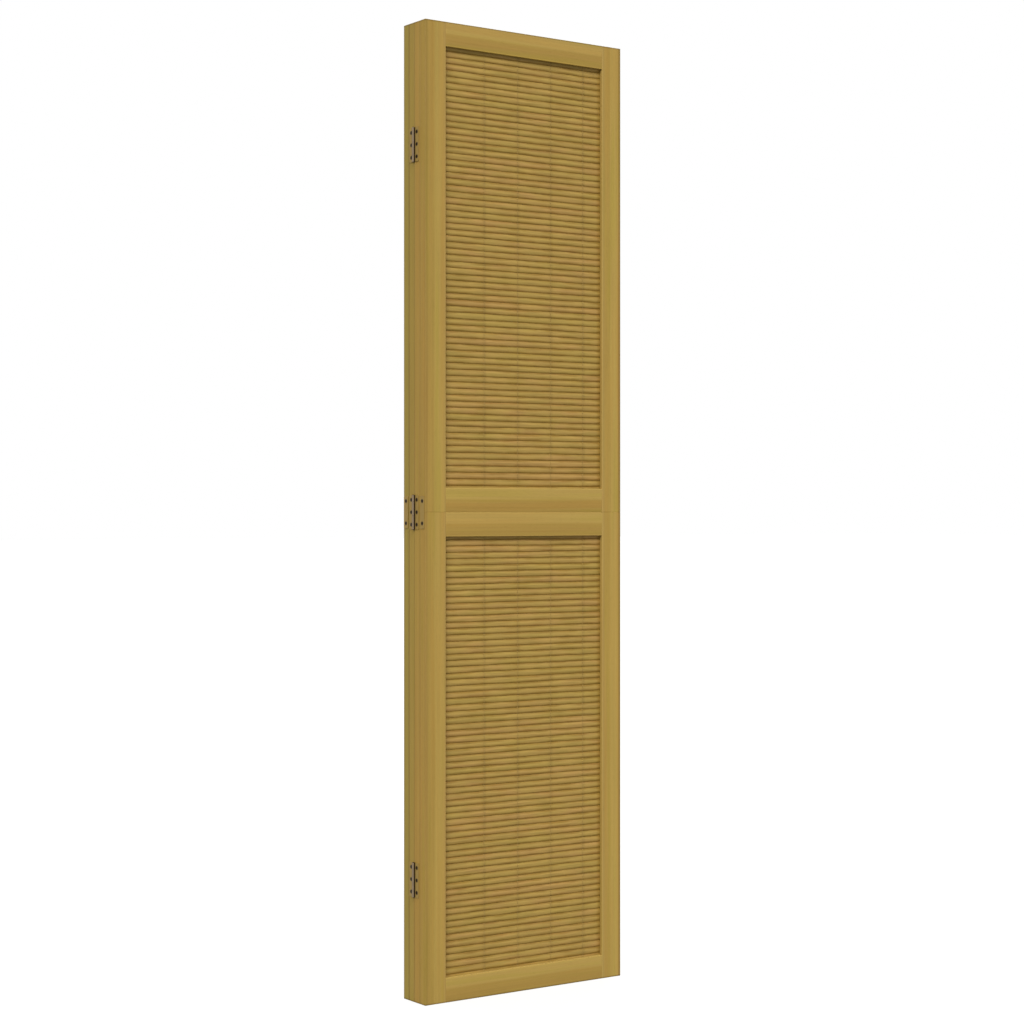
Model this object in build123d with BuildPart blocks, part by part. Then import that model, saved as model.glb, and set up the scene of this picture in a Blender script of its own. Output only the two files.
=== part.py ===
from build123d import *
import os

# Folding screen: four framed leaves hinged edge to edge, standing folded shut.
# Millimetres, +Z up. X runs across the leaves and Y through the stack, leaf 1 in front at -Y.
# The origin is on the floor, under the middle of the folded stack.

os.makedirs("parts", exist_ok=True)

# Leaves, each a lower and an upper frame that meet at half height
LEAVES = 4
LEAF_WIDTH = 450.0
LEAF_HEIGHT = 1800.0
LEAF_THICK = 18.0
LEAF_GAP = 0.4
MEMBER_WIDTH = 45.0
EASED_EDGE = 0.5

# Frame joinery: stub tenons in stopped grooves, and dowels across the seam
GROOVE_WIDTH = 4.5
STILE_GROOVE_DEPTH = 8.0
GROOVE_STOP = 10.0
TENON_WIDTH = 4.4
TENON_LENGTH = 7.5
TENON_HEIGHT = 26.5
DOWEL_RADIUS = 4.0
DOWEL_LENGTH = 40.0
DOWEL_SPACING = 240.0
DOWEL_ROOM = 0.05

# Slat mats: rounded strips tied by threads, their ends held in the stile grooves
SLATS = 70
SLAT_PITCH = 11.7
SLAT_GAP = 0.6
SLAT_CREST = 4.0
SLAT_EDGE = 1.6
SLAT_LENGTH = 374.0
THREADS = 4
THREAD_PITCH = 76.5
THREAD_CENTRE = 24.0
THREAD_WIDTH = 1.2
THREAD_THICK = 0.4

# Butt hinges and mending plates on the leaf edges
HINGE_HEIGHTS = (225.0, 900.0, 1575.0)
HINGE_LENGTH = 63.5
KNUCKLES = 5
KNUCKLE_GAP = 0.3
BARREL_RADIUS = 2.5
PIN_RADIUS = 1.25
PIN_ROOM = 0.05
PIN_HEAD_RADIUS = 1.5
PIN_HEAD_HEIGHT = 0.8
AXIS_STANDOFF = 2.8
PLATE_THICK = 1.2
PLATE_REACH = 15.5
PLATE_CORNER = 2.0
MEND_LENGTH = 60.0
MEND_WIDTH = 14.0
MEND_SCREW_SPACING = 41.0

# Countersunk wood screws
SCREW_SPACING = 22.8
SCREW_LENGTH = 16.0
SCREW_POINT = 3.5
SHANK_RADIUS = 1.4
HEAD_RADIUS = 2.6
SCREW_ROOM = 0.05
RECESS_LENGTH = 2.8
RECESS_WIDTH = 0.7
RECESS_DEPTH = 0.7

LEFT, RIGHT = -1, 1
HINGE_EDGES = (RIGHT, LEFT, RIGHT)

half_height = LEAF_HEIGHT / 2
half_width = LEAF_WIDTH / 2
opening_width = LEAF_WIDTH - 2 * MEMBER_WIDTH
opening_height = half_height - 2 * MEMBER_WIDTH
leaf_pitch = LEAF_THICK + LEAF_GAP
mat_height = SLATS * SLAT_PITCH - SLAT_GAP
rail_groove_depth = (mat_height - opening_height) / 2
knuckle_pitch = HINGE_LENGTH / KNUCKLES
plate_face = half_width + PLATE_THICK
halves = {"lower": 0.0, "upper": half_height}
sides = {"left": LEFT, "right": RIGHT}


def leaf_y(leaf):
    """Middle plane of leaf 0, 1, 2 or 3."""
    return (leaf - (LEAVES - 1) / 2) * leaf_pitch


def axis_y(line):
    """The hinge line between leaf number line and the next one."""
    return (leaf_y(line) + leaf_y(line + 1)) / 2


def is_hinged(leaf, edge):
    """True where a hinge line runs down this edge of the leaf."""
    return any(0 <= line < LEAVES - 1 and HINGE_EDGES[line] == edge for line in (leaf - 1, leaf))


def screw_heights(leaf, edge):
    """Heights of the screws on one edge of a leaf."""
    if is_hinged(leaf, edge):
        return [z + step * SCREW_SPACING for z in HINGE_HEIGHTS for step in (-1, 0, 1)]
    return [half_height + step * MEND_SCREW_SPACING / 2 for step in (-1, 1)]


def outward(edge, x, y, z):
    """A place whose own Z axis points out of the leaf's left or right edge."""
    return Location((edge * x, y, z), (0, 90 * edge, 0))


def write(piece, node):
    piece.part.label = node
    export_step(piece.part, f"parts/{node}.step")


# Stiles: the uprights, grooved inside and drilled for the screws on their outer edge
for leaf in range(LEAVES):
    for half, floor in halves.items():
        for side, edge in sides.items():
            heights = [z for z in screw_heights(leaf, edge) if floor <= z <= floor + half_height]
            with BuildPart() as stile:
                middle = floor + half_height / 2
                with Locations((edge * (half_width - MEMBER_WIDTH / 2), leaf_y(leaf), middle)):
                    Box(MEMBER_WIDTH, LEAF_THICK, half_height)
                chamfer(stile.edges(), EASED_EDGE)
                with Locations((edge * opening_width / 2, leaf_y(leaf), middle)):
                    Box(2 * STILE_GROOVE_DEPTH, GROOVE_WIDTH, half_height - 2 * GROOVE_STOP,
                        mode=Mode.SUBTRACT)
                with Locations([outward(edge, half_width, leaf_y(leaf), z) for z in heights]):
                    Hole(SHANK_RADIUS + SCREW_ROOM, SCREW_LENGTH)
            write(stile, f"leaf_{leaf + 1}_{half}_{side}_stile")

# Rails: a bottom and a top rail in each half, with a groove for the mat and a tenon at each end
for leaf in range(LEAVES):
    for half, floor in halves.items():
        bottom = floor + MEMBER_WIDTH / 2
        top = floor + half_height - MEMBER_WIDTH / 2
        tenon_in = GROOVE_STOP + TENON_HEIGHT / 2 - MEMBER_WIDTH / 2
        mouths = [bottom + MEMBER_WIDTH / 2, top - MEMBER_WIDTH / 2]
        with BuildPart() as rails:
            with Locations((0, leaf_y(leaf), bottom), (0, leaf_y(leaf), top)):
                Box(opening_width, LEAF_THICK, MEMBER_WIDTH)
            chamfer(rails.edges(), EASED_EDGE)
            with Locations((0, leaf_y(leaf), bottom + tenon_in), (0, leaf_y(leaf), top - tenon_in)):
                Box(opening_width + 2 * TENON_LENGTH, TENON_WIDTH, TENON_HEIGHT)
            with Locations([(0, leaf_y(leaf), z) for z in mouths]):
                Box(opening_width, GROOVE_WIDTH, 2 * rail_groove_depth, mode=Mode.SUBTRACT)
            with Locations((0, leaf_y(leaf), half_height)):
                with GridLocations(DOWEL_SPACING, 1, 2, 1):
                    Cylinder(DOWEL_RADIUS + DOWEL_ROOM, DOWEL_LENGTH + 2 * DOWEL_ROOM, mode=Mode.SUBTRACT)
        write(rails, f"leaf_{leaf + 1}_{half}_rails")

# Dowels: two in each leaf, half in the lower frame and half in the upper one
for leaf in range(LEAVES):
    with BuildPart() as dowels:
        with Locations((0, leaf_y(leaf), half_height)):
            with GridLocations(DOWEL_SPACING, 1, 2, 1):
                Cylinder(DOWEL_RADIUS, DOWEL_LENGTH)
        chamfer(dowels.edges().filter_by(GeomType.CIRCLE), 2 * EASED_EDGE)
    write(dowels, f"leaf_{leaf + 1}_dowels")

# Slats: lens-shaped strips, one above the other, from groove floor to groove floor
slat_reach = (SLAT_PITCH - SLAT_GAP) / 2
with BuildSketch() as lens:
    with BuildLine():
        ThreePointArc((SLAT_EDGE / 2, -slat_reach), (SLAT_CREST / 2, 0), (SLAT_EDGE / 2, slat_reach))
        Line((SLAT_EDGE / 2, slat_reach), (-SLAT_EDGE / 2, slat_reach))
        ThreePointArc((-SLAT_EDGE / 2, slat_reach), (-SLAT_CREST / 2, 0), (-SLAT_EDGE / 2, -slat_reach))
        Line((-SLAT_EDGE / 2, -slat_reach), (SLAT_EDGE / 2, -slat_reach))
    make_face()

for leaf in range(LEAVES):
    for half, floor in halves.items():
        with BuildPart() as slats:
            with BuildSketch(Plane.YZ.offset(-SLAT_LENGTH / 2)):
                with Locations((leaf_y(leaf), floor + half_height / 2)):
                    with GridLocations(1, SLAT_PITCH, 1, SLATS):
                        add(lens.sketch)
            extrude(amount=SLAT_LENGTH)
        write(slats, f"leaf_{leaf + 1}_{half}_slats")

# Threads: each warp runs up the front and the back of the mat, over the slats' crests
for leaf in range(LEAVES):
    with BuildPart() as threads:
        for floor in halves.values():
            for face in (-1, 1):
                strand_y = leaf_y(leaf) + face * (SLAT_CREST + THREAD_THICK) / 2
                with Locations((THREAD_CENTRE, strand_y, floor + half_height / 2)):
                    with GridLocations(THREAD_PITCH, 1, THREADS, 1):
                        Box(THREAD_WIDTH, THREAD_THICK, opening_height - 2 * EASED_EDGE)
    write(threads, f"leaf_{leaf + 1}_threads")

# Screws: flat heads flush with the plates, cross recess, plain shank with a point
with BuildPart() as screw:
    with BuildSketch(Plane.XZ):
        with BuildLine():
            Polyline((0, 0), (HEAD_RADIUS, 0), (SHANK_RADIUS, -PLATE_THICK),
                     (SHANK_RADIUS, SCREW_POINT - SCREW_LENGTH), (0, -SCREW_LENGTH), (0, 0))
        make_face()
    revolve(axis=Axis.Z)
    Box(RECESS_LENGTH, RECESS_WIDTH, 2 * RECESS_DEPTH, mode=Mode.SUBTRACT)
    Box(RECESS_WIDTH, RECESS_LENGTH, 2 * RECESS_DEPTH, mode=Mode.SUBTRACT)

for leaf in range(LEAVES):
    with BuildPart() as screws:
        with Locations([outward(edge, plate_face, leaf_y(leaf), z)
                        for edge in (LEFT, RIGHT) for z in screw_heights(leaf, edge)]):
            add(screw.part)
    write(screws, f"leaf_{leaf + 1}_screws")

# Hinge plates: flat on the leaf edges, knuckles 1, 3 and 5 in front and 2 and 4 behind
for line, edge in enumerate(HINGE_EDGES):
    for plate_name, side in (("front", -1), ("back", 1)):
        leaf = line if side < 0 else line + 1
        steps = [n - (KNUCKLES - 1) / 2 for n in range(KNUCKLES)]
        own = [s for n, s in enumerate(steps) if n % 2 == (0 if side < 0 else 1)]
        other = [s for s in steps if s not in own]
        plate_x = edge * (half_width + PLATE_THICK / 2)
        axis_x = edge * (half_width + AXIS_STANDOFF)
        with BuildPart() as plates:
            with Locations([(plate_x, axis_y(line) + side * PLATE_REACH / 2, z) for z in HINGE_HEIGHTS]):
                Box(PLATE_THICK, PLATE_REACH, HINGE_LENGTH)
            outer_edges = plates.edges().filter_by(Axis.X).group_by(Axis.Y)[0 if side < 0 else -1]
            fillet(outer_edges, PLATE_CORNER)
            with Locations([(plate_x, axis_y(line), z + s * knuckle_pitch)
                            for z in HINGE_HEIGHTS for s in other]):
                Box(PLATE_THICK, 2 * AXIS_STANDOFF, knuckle_pitch + KNUCKLE_GAP, mode=Mode.SUBTRACT)
            with Locations([(axis_x, axis_y(line), z + s * knuckle_pitch)
                            for z in HINGE_HEIGHTS for s in own]):
                Cylinder(BARREL_RADIUS, knuckle_pitch - KNUCKLE_GAP)
            with Locations([(axis_x, axis_y(line), z) for z in HINGE_HEIGHTS]):
                Cylinder(PIN_RADIUS + PIN_ROOM, HINGE_LENGTH, mode=Mode.SUBTRACT)
            with Locations([outward(edge, plate_face, leaf_y(leaf), z)
                            for z in screw_heights(leaf, edge)]):
                CounterSinkHole(SHANK_RADIUS + SCREW_ROOM, HEAD_RADIUS + SCREW_ROOM,
                                2 * PLATE_THICK, counter_sink_angle=90)
        write(plates, f"hinge_{line + 1}_{line + 2}_{plate_name}_plates")

# Hinge pins: headed at both ends, caught between the two end knuckles
for line, edge in enumerate(HINGE_EDGES):
    axis_x = edge * (half_width + AXIS_STANDOFF)
    head_z = (HINGE_LENGTH - KNUCKLE_GAP + PIN_HEAD_HEIGHT) / 2
    with BuildPart() as pins:
        for z in HINGE_HEIGHTS:
            with Locations((axis_x, axis_y(line), z)):
                Cylinder(PIN_RADIUS, HINGE_LENGTH)
            with Locations((axis_x, axis_y(line), z - head_z), (axis_x, axis_y(line), z + head_z)):
                Cylinder(PIN_HEAD_RADIUS, PIN_HEAD_HEIGHT)
    write(pins, f"hinge_{line + 1}_{line + 2}_pins")

# Mending plates: join the two frames on the outer leaves' free edge
for leaf in (0, LEAVES - 1):
    with BuildPart() as mending_plate:
        with Locations((LEFT * (half_width + PLATE_THICK / 2), leaf_y(leaf), half_height)):
            Box(PLATE_THICK, MEND_WIDTH, MEND_LENGTH)
        fillet(mending_plate.edges().filter_by(Axis.X), PLATE_CORNER)
        with Locations([outward(LEFT, plate_face, leaf_y(leaf), z) for z in screw_heights(leaf, LEFT)]):
            CounterSinkHole(SHANK_RADIUS + SCREW_ROOM, HEAD_RADIUS + SCREW_ROOM,
                            2 * PLATE_THICK, counter_sink_angle=90)
    write(mending_plate, f"leaf_{leaf + 1}_mending_plate")
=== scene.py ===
import bmesh
import bpy
import math
import numpy as np
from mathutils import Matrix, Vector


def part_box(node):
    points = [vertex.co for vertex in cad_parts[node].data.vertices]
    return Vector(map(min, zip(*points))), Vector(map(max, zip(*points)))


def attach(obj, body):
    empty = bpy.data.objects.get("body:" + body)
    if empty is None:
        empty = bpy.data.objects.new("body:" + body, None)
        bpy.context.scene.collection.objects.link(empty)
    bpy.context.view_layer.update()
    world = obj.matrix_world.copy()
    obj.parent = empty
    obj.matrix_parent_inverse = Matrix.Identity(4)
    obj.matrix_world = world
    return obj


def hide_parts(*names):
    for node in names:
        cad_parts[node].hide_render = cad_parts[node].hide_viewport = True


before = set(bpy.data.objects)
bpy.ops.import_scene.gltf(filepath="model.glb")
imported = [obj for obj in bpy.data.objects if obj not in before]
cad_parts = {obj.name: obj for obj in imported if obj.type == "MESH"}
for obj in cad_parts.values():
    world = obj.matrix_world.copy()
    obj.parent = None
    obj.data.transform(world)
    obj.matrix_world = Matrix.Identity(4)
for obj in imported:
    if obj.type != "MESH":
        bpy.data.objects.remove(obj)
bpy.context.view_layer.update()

# Driving sizes, in metres, as in the part's source
MM = 0.001
LEAVES = 4
LEAF_WIDTH = 450 * MM
LEAF_HEIGHT = 1800 * MM
LEAF_THICK = 18 * MM
LEAF_PITCH = 18.4 * MM
MEMBER_WIDTH = 45 * MM
SLATS = 70
SLAT_CREST = 4.0 * MM
SLAT_EDGE = 1.6 * MM
SLAT_LENGTH = 374 * MM
THREAD_COLUMNS = [x * MM for x in (-90.75, -14.25, 62.25, 138.75)]
AXIS_STANDOFF = 2.8 * MM
BARREL_RADIUS = 2.5 * MM
HINGE_STEP = 675 * MM
HINGE_SCREW_STEP = 22.8 * MM
MEND_SCREW_REACH = 20.5 * MM

# Places worked out from them: the seam between a leaf's halves, each half's floor, the middle line
# of a stile and the edge of the openings
MID_HEIGHT = LEAF_HEIGHT / 2
HALVES = {"lower": 0.0, "upper": MID_HEIGHT}
STILE_MIDDLE = (LEAF_WIDTH - MEMBER_WIDTH) / 2
OPENING_REACH = LEAF_WIDTH / 2 - MEMBER_WIDTH

# A mat's gap lines, above the floor of its half: the lowest whole slats are split wider than the rest
FIRST_LINE = 48.9 * MM
WIDE_SLATS = 7
WIDE_PITCH = 12.3 * MM
LAST_LINE = 849.0 * MM
# The open gap at a line, how far the line rises and falls, and how much thinner a slat may be
SLAT_GAP = 0.35 * MM
LINE_WAVE = 0.4 * MM
THINNEST_SLAT = 0.93
# How much the slats' tones differ, and the seed of all chance in the mats
TONE_SPREAD = 0.16
SEED = 41

# Threads: a strand's radius, its reach from the mat's middle plane, how squarely it dives through a
# gap, how far it stands off its column over a slat and how much further in a gap, the corners round it
# and its sections for each slat
THREAD_RADIUS = 0.3 * MM
STRAND_REACH = SLAT_CREST / 2 + 0.8 * THREAD_RADIUS
STRAND_DIVE = 4
STRAND_OFF = 0.4 * THREAD_RADIUS
STRAND_ASIDE = 0.8 * THREAD_RADIUS
STRAND_SIDES = 6
STRAND_STEPS = 7

# Camera: level, at half the screen's height, 35 degrees to the left of the leaf's front
CAMERA_PLACE = [v * MM for v in (-2351.6, -3349.3, 900.4)]
CAMERA_TURN = math.radians(-35.0)
CAMERA_LENS = 75.864
CAMERA_SENSOR = 36.0

# Light: the world's level, the floor's bounce, glow and reach, and each lamp's azimuth, elevation,
# width in degrees and strength. Azimuth 0 is straight in front of leaf 1, and minus is to its left.
WORLD_LEVEL = 0.55
FLOOR_BOUNCE = 0.22
FLOOR_GLOW = 0.76
FLOOR_REACH = 60.0
LAMPS = [("key", -20, 50, 28, 1.87), ("side", -58, 28, 28, 1.5), ("back", 145, 35, 40, 2.2)]

# Boards: the stain's colour across a board's width, from its lower or left edge
STILE_STAIN = [(0.0, "#a18341"), (0.2, "#a38541"), (0.40, "#a48741"), (0.48, "#a98d47"), (0.75, "#aa8e48"),
               (0.9, "#ad8b44"), (1.0, "#ac8a44")]
RAIL_STAIN = [(0.0, "#9d803e"), (0.2, "#a0823f"), (0.32, "#a38441"), (0.50, "#a48641"), (0.57, "#ad904b"),
              (1.0, "#af924d")]
# Slow drift between an olive and an orange cast, as heartwood and sapwood take the stain
STAIN_CAST = [(0.34, "#faffee"), (0.5, "#ffffff"), (0.68, "#fffaf6")]
# Nested arcs of the grain, in radians: for each metre along a board, for each square metre of its
# width, and how far noise moves them
ARC_RATE = 14.0
ARC_BULGE = 9000.0
ARC_WANDER = 9.0
# How many marks away a board's own stretch of the grain may start
GRAIN_APART = 9.0
# The stiles' thin sides are warmer, the back leaves' ones have aged, and the lacquer greys by the mats
THIN_SIDE_TINT = "#fffce9"
AGED_STAIN = "#937e37"
GREYED_STAIN = "#9c8752"
GREYED = 0.3
GREYED_REACH = (2 * MM, 9 * MM)
# How light the left and the right stile are, and how much end grain keeps of its lightness
STILE_LIGHT = (0.99, 1.04)
END_GRAIN_LIGHT = 0.72
# How much lighter the rubbed arrises round an opening are, with a painted highlight that is a faint painted
# shade on the left stile: a left and a right stile's, and those below and above on a rail. The mark fades out
# between the two distances from the edge.
STILE_RUBBED_AND_LIT = (-0.04, 0.12)
RAIL_RUBBED_AND_LIT = (0.18, 0.07)
RUBBED_AND_LIT_REACH = (1 * MM, 3.6 * MM)
# How much darker the painted shade on the leaf's outer arrises is, and the same distances on stiles, on
# rails and from the top and the foot of a stile
ARRIS_PAINTED_SHADE = -0.38
STILE_EDGE_SHADE_REACH = (3.5 * MM, 7.5 * MM)
RAIL_EDGE_SHADE_REACH = (1 * MM, 3.5 * MM)
TIP_SHADE_REACH = (1 * MM, 3.5 * MM)
# A mark on an arris reaches so many times less far round the corner, onto the board's thin side
ARRIS_SQUEEZE = 2.5

# Slats: the stain's hues, the tint of the painted shade and stain on their rims and at the frame, and how
# many marks away a slat's own fibres may start
BAMBOO_STAIN = [(0.25, "#a18743"), (0.42, "#a38745"), (0.58, "#a48646"), (0.75, "#a78549")]
SHADE_AND_STAIN_TINT = [(0.0, "#ffffff"), (1.0, "#d6cba8")]
FIBRES_APART = 37.0
# The painted shade of the dip at a thread rises between the first two places and ends between the last two
DIP_SHADE_RISE = (-10 * MM, 3 * MM)
DIP_SHADE_END = (4.5 * MM, 6 * MM)
# How much painted shade darkens the slats at the stiles and just above the lower rail, and how far it reaches
SIDE_PAINTED_SHADE = 0.7
SIDE_PAINTED_SHADE_REACH = 10 * MM
LOW_PAINTED_SHADE = 0.4
LOW_PAINTED_SHADE_REACH = 6 * MM

# Hinges: painted shade in the crease at the knuckles' roots, and a dark ring round each screw head, which
# fade out between two distances from the hinge line, from a screw's middle and from the leaf's edge
SHADE_AND_RING_DARK = "#291903"
ROOT_SHADE = (3.6 * MM, 5.6 * MM)
SCREW_RING_REACH = (3 * MM, 4.4 * MM)
OUTER_SHADE_EDGE = (-0.6 * MM, 0.8 * MM)
# The lacquer is worn off between these distances from the hinge line
WORN_KNUCKLE = (BARREL_RADIUS + 0.05 * MM, BARREL_RADIUS + 0.3 * MM)


def leaf_y(leaf):
    """Middle plane of leaf 0, 1, 2 or 3, leaf 0 being leaf_1."""
    return (leaf - (LEAVES - 1) / 2) * LEAF_PITCH


def linear(colour):
    """An sRGB hex colour as linear red, green, blue and alpha."""
    parts = [int(colour[i:i + 2], 16) / 255 for i in (1, 3, 5)]
    return [c / 12.92 if c <= 0.04045 else ((c + 0.055) / 1.055) ** 2.4 for c in parts] + [1.0]


def add(tree, kind, links=(), stops=(), **settings):
    """Adds one node. links gives each input, by name or number, a value or another node's output.

    A range node takes the value as input 0. Inputs 1 and 2 are the range that it comes from, and 3
    and 4 the range that it goes to. Each is 0 or 1 where it isn't given.
    """
    made = tree.nodes.new(kind)
    for name, value in settings.items():
        setattr(made, name, value)
    for place, value in dict(links).items():
        if isinstance(value, bpy.types.NodeSocket):
            tree.links.new(value, made.inputs[place])
        else:
            made.inputs[place].default_value = value
    if stops:
        ramp = made.color_ramp.elements
        ramp.remove(ramp[1])
        ramp[0].position = stops[0][0]
        ramp[0].color = linear(stops[0][1])
        for position, colour in stops[1:]:
            ramp.new(position).color = linear(colour)
    return made


def new_material(name):
    """An empty material with its Principled shader and output, as (material, tree, shader)."""
    made = bpy.data.materials.new(name)
    made.use_nodes = True
    tree = made.node_tree
    tree.nodes.clear()
    shader = add(tree, "ShaderNodeBsdfPrincipled")
    add(tree, "ShaderNodeOutputMaterial", {"Surface": shader.outputs[0]})
    return made, tree, shader


def board_place(tree, texture_place, upright):
    """Where a point lies on its own board, as a dictionary of outputs.

    across runs over the board's width from its middle line, outward is the same towards the leaf's
    outside, and along runs along the board: up a stile, or to the right on a rail. leaf is -2, -1,
    0 or 1 from the front, side and half are -1 or 1, and height is measured from the seam.
    """
    x, y, z = add(tree, "ShaderNodeSeparateXYZ", {0: texture_place.outputs["Object"]}).outputs
    leaf = add(tree, "ShaderNodeMath", {0: y, 1: LEAF_PITCH}, operation="DIVIDE").outputs[0]
    leaf = add(tree, "ShaderNodeMath", {0: leaf}, operation="FLOOR").outputs[0]
    rise = add(tree, "ShaderNodeMath", {0: z, 1: MID_HEIGHT}, operation="SUBTRACT").outputs[0]
    half = add(tree, "ShaderNodeMath", {0: rise}, operation="SIGN").outputs[0]
    side = add(tree, "ShaderNodeMath", {0: x}, operation="SIGN").outputs[0]
    height = add(tree, "ShaderNodeMath", {0: rise}, operation="ABSOLUTE").outputs[0]
    if upright:
        middle = add(tree, "ShaderNodeMath", {0: side, 1: STILE_MIDDLE}, operation="MULTIPLY").outputs[0]
        across = add(tree, "ShaderNodeMath", {0: x, 1: middle}, operation="SUBTRACT").outputs[0]
        outward = add(tree, "ShaderNodeMath", {0: across, 1: side}, operation="MULTIPLY").outputs[0]
        along, which = z, side
    else:
        far = add(tree, "ShaderNodeMath", {0: height, 1: MID_HEIGHT / 2}, operation="GREATER_THAN").outputs[0]
        middle = add(tree, "ShaderNodeMapRange", {0: far, 3: MEMBER_WIDTH / 2,
                                                  4: MID_HEIGHT - MEMBER_WIDTH / 2}).outputs[0]
        middle = add(tree, "ShaderNodeMath", {0: half, 1: middle}, operation="MULTIPLY").outputs[0]
        across = add(tree, "ShaderNodeMath", {0: rise, 1: middle}, operation="SUBTRACT").outputs[0]
        outward = add(tree, "ShaderNodeMath", {0: across, 1: half}, operation="MULTIPLY").outputs[0]
        # The seam isn't outside: the lower half's top edge counts as an inner one, the other as neither
        seam = add(tree, "ShaderNodeMath", {0: across, 1: -1.0}, operation="MULTIPLY").outputs[0]
        seam = add(tree, "ShaderNodeMath", {0: seam, 1: 0.0}, operation="MINIMUM").outputs[0]
        upper = add(tree, "ShaderNodeMath", {0: half, 1: 0.0}, operation="GREATER_THAN").outputs[0]
        seam = add(tree, "ShaderNodeMix", {0: upper, 2: -MEMBER_WIDTH / 2, 3: seam}).outputs[0]
        outward = add(tree, "ShaderNodeMix", {0: far, 2: seam, 3: outward}).outputs[0]
        along, which = x, far
    cell = add(tree, "ShaderNodeCombineXYZ", {0: leaf, 1: which, 2: half}).outputs[0]
    return {"object": texture_place.outputs["Object"], "y": y, "leaf": leaf, "side": side, "height": height,
            "across": across, "outward": outward, "along": along, "cell": cell}


def board_grain(tree, at, upright):
    """The grain of a board, as its stain colour, its lightness, its streaks and its pores.

    A flat-sawn board has long low-contrast streaks, short open pores and faint nested arcs. Each
    board takes its own stretch of them from white noise of its leaf, its side and its half.
    """
    chance = add(tree, "ShaderNodeTexWhiteNoise", {"Vector": at["cell"]}, noise_dimensions="3D")
    shift = add(tree, "ShaderNodeVectorMath", {0: chance.outputs["Color"], "Scale": GRAIN_APART},
                operation="SCALE").outputs[0]
    board = add(tree, "ShaderNodeCombineXYZ", {0: at["across"], 1: at["y"], 2: at["along"]}).outputs[0]

    def grain(width, length, detail):
        """Noise whose marks are about width across the board and length along it."""
        sized = add(tree, "ShaderNodeVectorMath", {0: board, 1: (1 / width, 1 / width, 1 / length)},
                    operation="MULTIPLY")
        moved = add(tree, "ShaderNodeVectorMath", {0: sized.outputs[0], 1: shift}, operation="ADD")
        return add(tree, "ShaderNodeTexNoise", {"Vector": moved.outputs[0], "Scale": 1.0,
                                                "Detail": detail}).outputs["Fac"]

    # The stain's tone across the board: a darker edge, a step near the middle and a lighter edge
    drift = add(tree, "ShaderNodeMapRange", {0: grain(60 * MM, 500 * MM, 1), 3: -0.06, 4: 0.06}).outputs[0]
    tone = add(tree, "ShaderNodeMath", {0: at["across"], 1: 1 / MEMBER_WIDTH, 2: 0.5},
               operation="MULTIPLY_ADD").outputs[0]
    tone = add(tree, "ShaderNodeMath", {0: tone, 1: drift}, operation="ADD").outputs[0]
    stain = add(tree, "ShaderNodeValToRGB", {0: tone},
                stops=STILE_STAIN if upright else RAIL_STAIN).outputs["Color"]
    cast = add(tree, "ShaderNodeValToRGB", {0: grain(14 * MM, 420 * MM, 2)},
               stops=STAIN_CAST).outputs["Color"]
    stain = add(tree, "ShaderNodeMix", {"Factor": 1.0, 6: stain, 7: cast}, data_type="RGBA",
                blend_type="MULTIPLY").outputs[2]
    # Nested arcs of a flat-sawn face: rings cut by a parabola that slides along the board
    bulge = add(tree, "ShaderNodeMath", {0: at["across"], 1: at["across"]}, operation="MULTIPLY").outputs[0]
    bulge = add(tree, "ShaderNodeMath", {0: bulge, 1: ARC_BULGE}, operation="MULTIPLY").outputs[0]
    ring = add(tree, "ShaderNodeMath", {0: at["along"], 1: ARC_RATE, 2: bulge},
               operation="MULTIPLY_ADD").outputs[0]
    ring = add(tree, "ShaderNodeMath", {0: grain(30 * MM, 260 * MM, 2), 1: ARC_WANDER, 2: ring},
               operation="MULTIPLY_ADD").outputs[0]
    ring = add(tree, "ShaderNodeMath", {0: ring}, operation="SINE").outputs[0]
    arcs = add(tree, "ShaderNodeMapRange", {0: ring, 1: -1.0, 2: 1.0, 3: 0.98, 4: 1.01}).outputs[0]
    streaks = add(tree, "ShaderNodeMapRange", {0: grain(3.2 * MM, 260 * MM, 4), 1: 0.3, 2: 0.7,
                                               3: 0.95, 4: 1.04}).outputs[0]
    pores = add(tree, "ShaderNodeMapRange", {0: grain(0.55 * MM, 14 * MM, 2), 1: 0.56, 2: 0.68,
                                             3: 1.0, 4: 0.90}).outputs[0]
    light = add(tree, "ShaderNodeMath", {0: arcs, 1: streaks}, operation="MULTIPLY").outputs[0]
    light = add(tree, "ShaderNodeMath", {0: light, 1: pores}, operation="MULTIPLY").outputs[0]
    own = add(tree, "ShaderNodeMapRange", {0: chance.outputs["Value"], 3: 0.985, 4: 1.015}).outputs[0]
    light = add(tree, "ShaderNodeMath", {0: light, 1: own}, operation="MULTIPLY").outputs[0]
    if upright:
        own = add(tree, "ShaderNodeMapRange", {0: at["side"], 1: -1.0, 2: 1.0,
                                               3: STILE_LIGHT[0], 4: STILE_LIGHT[1]}).outputs[0]
        light = add(tree, "ShaderNodeMath", {0: light, 1: own}, operation="MULTIPLY").outputs[0]
    return stain, light, streaks, pores


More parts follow.
